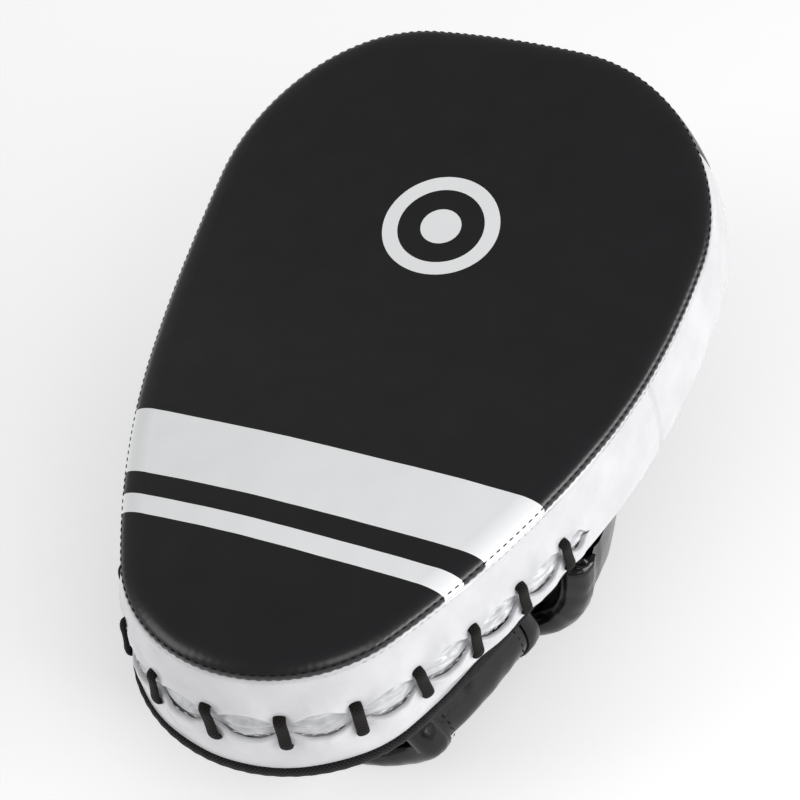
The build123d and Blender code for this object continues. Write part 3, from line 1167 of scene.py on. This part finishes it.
    def lining(self, name: str, low: float, high: float, count: int, deep: float) -> bpy.types.Object:
        """Brushed cloth on the inside, as a thin closed sheet.

        Args:
            name: The piece's name.
            low: Where it starts, as a share of the way round.
            high: Where it ends.
            count: Stations from end to end.
            deep: How far along the mitt it reaches, in millimetres from the wrist seam.

        Returns:
            The piece.
        """
        first = self.near + self.thick / 2
        sheet = [(y, self.thick - 0.4) for y in spread(first, deep, 36)]
        sheet += [(y, self.thick + 0.7) for y in spread(deep, first, 36)]
        rows = [low] + spread(low, high, count) + [high]

        def point(index: float, across: float) -> Vector:
            """The sheet's skin, which lies loosely on the padding."""
            y, inner = sheet[int(index)]
            spot = self.place(across, y, inner)
            return self.place(across, y, inner + 0.5 * wobble(spot, 12, 3.0) - 0.25)

        return self.close_ends(name, sheet, rows, point)


@dataclass
class Hood(Arch):
    """The padded hood on the back that the fingers slide into, open towards the wrist."""

    near: float = 108.0
    far: float = 230.0
    thick: float = 11.0
    half_width: float = 88.0
    widest: float = 124.0
    width_reach: float = 108.0
    deepest: float = 138.0
    tip_reach: float = 92.0
    square: float = 3.1
    stitch_in: float = 8.0

    def size(self, y: float) -> tuple[float, float]:
        """Half width, and drop under the back, at a place along the mitt."""
        across = min(abs(y - self.widest) / self.width_reach, 1.0)
        width = self.half_width * (1 - across ** 2.3) ** (1 / 2.3)
        share = min(max(y - self.deepest, 0.0) / self.tip_reach, 1.0)
        drop = (BEND.back(y, self.pad_back) - self.ground) * (1 - share ** 2.6) ** (1 / 2.6)
        return width, drop

    def section(self, across: float, y: float) -> tuple[float, float]:
        """Superellipse from root to root."""
        width, drop = self.size(y)
        angle = across * math.pi / 2
        power = 2 / self.square
        x = math.copysign(abs(math.sin(angle)) ** power, angle) * width
        return x, max(math.cos(angle), 0.0) ** power * (drop + 1.0) - 1.0

    def shell(self) -> bpy.types.Object:
        """The leather outside from the rim to the tip, where it closes on the back, and the rolled rim."""
        half = self.thick / 2
        start = self.near + half
        rows = [(start, self.thick), (start - half * 0.7, self.thick - half * 0.3), (self.near, half),
                (start - half * 0.7, half * 0.3), (start, 0.0)]
        length = self.far - start
        rows += [(start + length * math.sin(t * math.pi / 2) ** 0.9, 0.0) for t in spread(0.03, 1, 70)]

        def point(across: float, row: float) -> Vector:
            """The hood's skin: loose folds that die out at the roots and the tip, and the rim's seam."""
            y, inner = rows[int(row)]
            spot = self.place(across, y, inner)
            root = 1 - across ** 8
            tip = smooth(self.far, self.far - 25, y)
            folds = 1.1 * wobble(spot, 24, 4.0) + 0.5 * wobble(spot, 9, 8.0)
            seam = 1.2 * bell(y - start - self.stitch_in, 1.4)
            return self.place(across, y, inner - (folds * root * tip if inner < half else 0.0) + seam)

        return loft("hood_cover", spread(-1.0, 1.0, 241), list(range(len(rows))), point,
                    face_out=Vector((0, 0.3, -1)),
                    map_size=lambda s, r: Vector((s * 0.12, rows[int(r)][0] * MM)))

    def build(self) -> None:
        """Makes and dresses the hood."""
        cover = dress(self.shell(), "hood", "hood_leather", Body.PAD, "hood_cover", "hood_padding")
        tape = self.edge_tape("hood_binding", self.near, -1.0, 1.0, 201)
        dress(tape, "hood", "hood_leather", Body.PAD, "hood_binding")
        lining = self.lining("hood_lining", -0.98, 0.98, 161, self.far - 22.0)
        dress(lining, "lining", "lining_fabric", Body.PAD, "hood_lining")
        row = self.walk(self.near + self.thick / 2 + 6.2, 0.2, 3.6, -0.97, 0.97)
        dress(stitches("hood_stitches", row, 2.4, 0.6), "white_thread", "hood_leather", Body.PAD)


@dataclass
class Strap(Arch):
    """The padded wrist strap: sewn to the back at the right, closed by its tab at the left."""

    near: float = 35.0
    far: float = 99.0
    thick: float = 8.5
    near_half: float = 49.2
    far_half: float = 69.2
    near_drop: float = 46.5
    far_drop: float = 56.0
    left_square: float = 3.8
    right_square: float = 2.9
    bulge_near: float = 10.0
    bulge_far: float = 7.0
    root_gap: float = 2.0
    free_end: float = 21.0

    def section(self, across: float, y: float) -> tuple[float, float]:
        """Two quarter superellipses, the right one bulging where the hand pushes it out."""
        share = (y - self.near) / (self.far - self.near)
        width = self.near_half + (self.far_half - self.near_half) * share
        drop = self.near_drop + (self.far_drop - self.near_drop) * share
        angle = across * math.pi / 2
        power = 2 / (self.left_square if across < 0 else self.right_square)
        x = math.copysign(abs(math.sin(angle)) ** power, angle) * width
        deep = max(math.cos(angle), 0.0) ** power
        if across > 0:
            bulge = self.bulge_near + (self.bulge_far - self.bulge_near) * share
            x += bulge * 2.2 * smooth(0.15, 0.6, deep) * (1 - deep)
        return x, self.root_gap + deep * (drop - self.root_gap)

    def across_at(self, drop: float, y: float) -> float:
        """Share of the way round, on the left, where the strap is that far under the back."""
        low, high = -1.0, 0.0
        for _ in range(30):
            middle = (low + high) / 2
            if self.section(middle, y)[1] < drop:
                low = middle
            else:
                high = middle
        return low

    def band(self, name: str, high: float, low: float, outer: float, inner: float,
             edge: float) -> bpy.types.Object:
        """A flat strip that follows the strap's left side between two drops.

        Args:
            name: The piece's name.
            high: Drop of its upper end, in millimetres.
            low: Drop of its lower end.
            outer: Its outside, in millimetres in from the strap's.
            inner: Its inside.
            edge: How far it stays in from the strap's edges.

        Returns:
            The piece.
        """
        soft = min((inner - outer) / 2, 0.7)
        near, far = self.near + edge, self.far - edge
        loop = [(y, outer) for y in spread(near + soft, far - soft, 24)]
        loop += [(far, outer + soft), (far, inner - soft)]
        loop += [(y, inner) for y in spread(far - soft, near + soft, 24)]
        loop += [(near, inner - soft), (near, outer + soft)]
        drops = [high] + spread(high, low, 26) + [low]

        def point(index: float, drop: float) -> Vector:
            """The strip's skin at a drop under the back."""
            y, depth = loop[int(index)]
            return self.place(self.across_at(drop, y), y, depth)

        return self.close_ends(name, loop, drops, point)

    def build(self) -> None:
        """Makes and dresses the strap, its edge tapes and stitches, and its closure."""
        end = self.across_at(self.free_end, (self.near + self.far) / 2)
        cover = dress(self.cushion("strap_cover", end, 0.985, 181, 0.9), "hood", "hood_leather", Body.STRAP,
                      "strap_cover", "strap_padding")
        lining = self.lining("strap_lining", end + 0.01, 0.97, 121, self.far - self.thick / 2)
        dress(lining, "lining", "lining_fabric", Body.STRAP, "strap_lining")
        near = self.edge_tape("strap_binding_near", self.near - 1.0, end, 0.985, 141)
        dress(near, "hood", "binding_tape", Body.STRAP, "strap_binding")
        far = self.edge_tape("strap_binding_far", self.far + 1.0, end, 0.985, 141, side=-1.0)
        dress(far, "hood", "binding_tape", Body.STRAP)
        for edge_name, y in (("near", self.near + 11.0), ("far", self.far - 11.0)):
            row = self.walk(y, 0.1, 3.6, end + 0.01, 0.97)
            dress(stitches("strap_stitches_" + edge_name, row, 2.4, 0.55), "black_thread", "hood_leather",
                  Body.STRAP)
        self.build_closure()

    def build_closure(self) -> None:
        """Anchor strip and loop patch on the pad, tab and hook patch on the strap."""
        # Name, then upper drop, lower drop, outside, inside and edge, then finish, slot and body
        strips = (("anchor_strap", (0.5, 18.0, 2.0, 5.0, 5.0), "webbing", "webbing", Body.PAD),
                  ("loop_patch", (3.0, 16.5, 0.8, 2.0, 6.0), "loop", "loop_fabric", Body.PAD),
                  ("hook_patch", (6.5, 16.5, -0.7, 0.5, 6.0), "hook", "hook_nylon", Body.TAB),
                  ("strap_tab", (5.0, 36.0, -2.2, -0.7, 5.0), "webbing", "webbing", Body.TAB))
        for name, sizes, finish, slot, body in strips:
            dress(self.band(name, *sizes), finish, slot, body, name)


@dataclass
class PalmBall:
    """The leather-covered ball that the palm closes on."""

    y: float = 70.0
    half_width: float = 27.0
    half_length: float = 30.0
    height: float = 16.0
    base: float = 45.0

    def build(self) -> None:
        """Makes and dresses the ball."""
        rows = spread(0.0, 0.985, 26) + [1.0]

        def point(turn: float, row: float) -> Vector:
            """The ball's skin, a little lumpy."""
            angle = row * math.pi / 2
            flat, up = math.cos(angle), math.sin(angle)
            spin = math.radians(turn)
            x = self.half_width * flat * math.cos(spin)
            y = self.y + self.half_length * flat * math.sin(spin)
            spot = free(x, y, -self.base - (self.height + 1.0) * up)
            return spot + Vector((0, 0, 0.4 * MM * wobble(spot, 12, 3.0)))

        ball = loft("palm_ball", spread(0.0, 357.0, 120), rows, point, closed=True, pole=True,
                    face_out=Vector((0, 0, -1)), map_size=lambda s, r: Vector((s * 0.0004, r * 0.03)))
        dress(ball, "back", "back_leather", Body.PAD, "palm_ball_cover")


# ---------------------------------------------------------------- the rest


@dataclass(frozen=True)
class Lamp:
    """A rectangular area light: where it stands and its size in metres, its power in watts."""

    name: str
    place: tuple[float, float, float]
    wide: float
    tall: float
    power: float


LAMPS = (
    Lamp("edge_light", (1.7, 0.1, 0.62), 1.5, 0.34, 18.0),
    Lamp("right_light", (1.1, -0.9, 1.2), 0.8, 0.8, 6.0),
    Lamp("left_light", (-1.3, -0.9, 1.0), 1.0, 1.0, 8.0),
)


@dataclass
class Studio:
    """Pale floor, soft lights and the camera."""

    turn: tuple[float, float, float] = (-0.794059, -0.100739, -0.387143)
    reach: float = 0.69997
    aim: float = 150.0
    lens: float = 84.86
    sensor: float = 36.0
    shift: tuple[float, float] = (0.01176, -0.05301)

    def camera(self) -> None:
        """Puts the camera over the mitt's wrist end, a little to the right."""
        pitch, roll, yaw = self.turn
        rotation = Matrix.Rotation(pitch, 3, "X") @ Matrix.Rotation(roll, 3, "Y")
        axes = (rotation @ Matrix.Rotation(yaw, 3, "Z")).transposed()
        place = axes @ Vector((0, 0, self.reach)) + free(0.0, self.aim, 0.0)
        data = bpy.data.cameras.new("camera")
        data.lens, data.sensor_width = self.lens, self.sensor
        data.shift_x, data.shift_y = self.shift
        camera = bpy.data.objects.new("camera", data)
        camera.matrix_world = Matrix.Translation(place) @ axes.to_4x4()
        bpy.context.scene.collection.objects.link(camera)
        bpy.context.scene.camera = camera

    def light(self, lamp: Lamp, aim: Vector) -> None:
        """Adds one lamp, turned towards a place in the frame."""
        data = bpy.data.lights.new(lamp.name, "AREA")
        data.shape = "RECTANGLE"
        data.size, data.size_y, data.energy = lamp.wide, lamp.tall, lamp.power
        light = bpy.data.objects.new(lamp.name, data)
        light.location = lamp.place
        light.rotation_mode = "QUATERNION"
        light.rotation_quaternion = (aim - Vector(lamp.place)).to_track_quat("-Z", "Y")
        bpy.context.scene.collection.objects.link(light)

    def floor(self) -> None:
        """A wide matt white floor."""
        bm = bmesh.new()
        bmesh.ops.create_grid(bm, x_segments=1, y_segments=1, size=6.0)
        ground = finish_mesh(bm, "floor")
        material, _, shader = start("white_paper", 0.9)
        shader.inputs["Base Color"].default_value = linear("#f4f4f4")
        shader.inputs["Emission Color"].default_value = linear("#ffffff")
        shader.inputs["Emission Strength"].default_value = 0.35
        ground.data.materials.append(material)

    def build(self) -> None:
        """Sets up the whole studio."""
        self.floor()
        self.camera()
        middle = Vector((0.0, 0.0, 0.08))
        for lamp in LAMPS:
            self.light(lamp, middle)
        world = bpy.data.worlds.new("studio")
        world.use_nodes = True
        sky = world.node_tree.nodes["Background"]
        sky.inputs["Color"].default_value = linear("#ffffff")
        sky.inputs["Strength"].default_value = 0.36
        bpy.context.scene.world = world
        bpy.context.scene.view_settings.view_transform = "Standard"


def dress_hidden() -> None:
    """Gives the CAD nodes that still show their own foam or leather."""
    looks = {"impact_foam": "foam", "core_foam": "foam", "back_foam": "foam", "palm_ball_foam": "foam",
             "strap_root": "hood"}
    for node, finish in looks.items():
        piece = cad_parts[node]
        piece.data.materials.clear()
        piece.data.materials.append(finish_of(finish))


def main() -> None:
    """Builds every sub-assembly in order; each dressed piece logs its face count."""
    logging.basicConfig(level=logging.INFO, format="%(message)s")
    Studio().build()
    Pad().build()
    PalmBall().build()
    Hood().build()
    Strap().build()
    dress_hidden()


if __name__ == "__main__":
    main()
